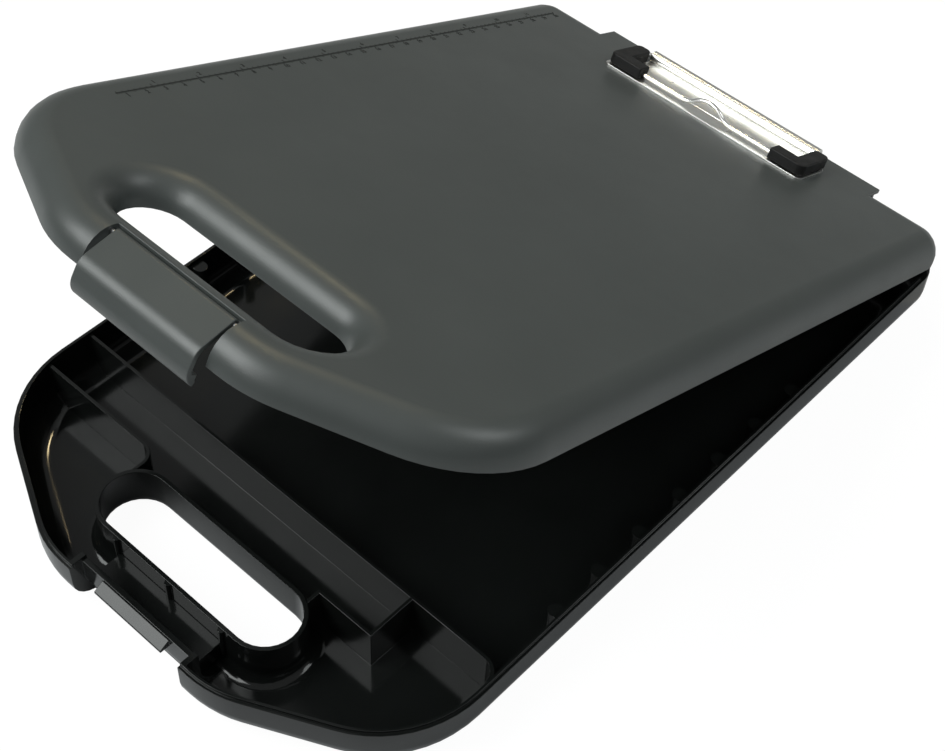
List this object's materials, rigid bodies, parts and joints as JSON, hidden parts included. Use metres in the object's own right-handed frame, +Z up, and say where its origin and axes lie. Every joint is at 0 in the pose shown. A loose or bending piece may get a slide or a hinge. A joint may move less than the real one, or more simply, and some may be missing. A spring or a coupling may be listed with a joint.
{
  "type": "storage clipboard box",
  "caption": "Shallow lidded tray whose hinged lid is a writing board, with a handle hole, a latch on the handle bar and a sprung wire clip.",
  "frame": {"origin": "middle of the tray's flat underside, on the table", "axes": "+X across the board to the right, -Y towards the handle and latch, +Y towards the hinge, +Z up"},
  "size_m": [0.253, 0.401, 0.1883],
  "materials": {
    "tray": "glossy moulded black",
    "lid": "satin, finely grained charcoal",
    "latch": "satin, finely grained charcoal",
    "steel": "drawn steel rod",
    "clip_plate": "bright nickel-plated sheet",
    "clip_wire": "bright plated spring wire",
    "caps": "soft black rubber"
  },
  "bodies": {
    "tray": {"base_tray": "tray", "hinge_rod": "steel"},
    "lid": {"lid_shell": "lid", "latch_pin": "steel", "clip_base_plate": "clip_plate", "clip_rivets": "clip_plate"},
    "latch": {"latch_cover": "latch"},
    "clip": {"clip_wire": "clip_wire", "clip_cap_left": "caps", "clip_cap_right": "caps"}
  },
  "joints": [
    {"name": "lid_hinge", "type": "hinge", "parent": "tray", "child": "lid", "pos_m": [0, 0.1984, 0.0243], "axis": [-1, 0, 0], "range_deg": [-22.9, 155]},
    {"name": "latch_hinge", "type": "hinge", "parent": "lid", "child": "latch", "pos_m": [0, -0.15016, 0.18521], "axis": [-1, 0, 0], "range_deg": [-12, 75]},
    {"name": "clip_hinge", "type": "hinge", "parent": "lid", "child": "clip", "pos_m": [0, 0.19607, 0.04526], "axis": [-1, 0, 0], "range_deg": [0, 60], "stiffness_Nm_per_rad": 0.3, "springref_deg": -34.38}
  ]
}
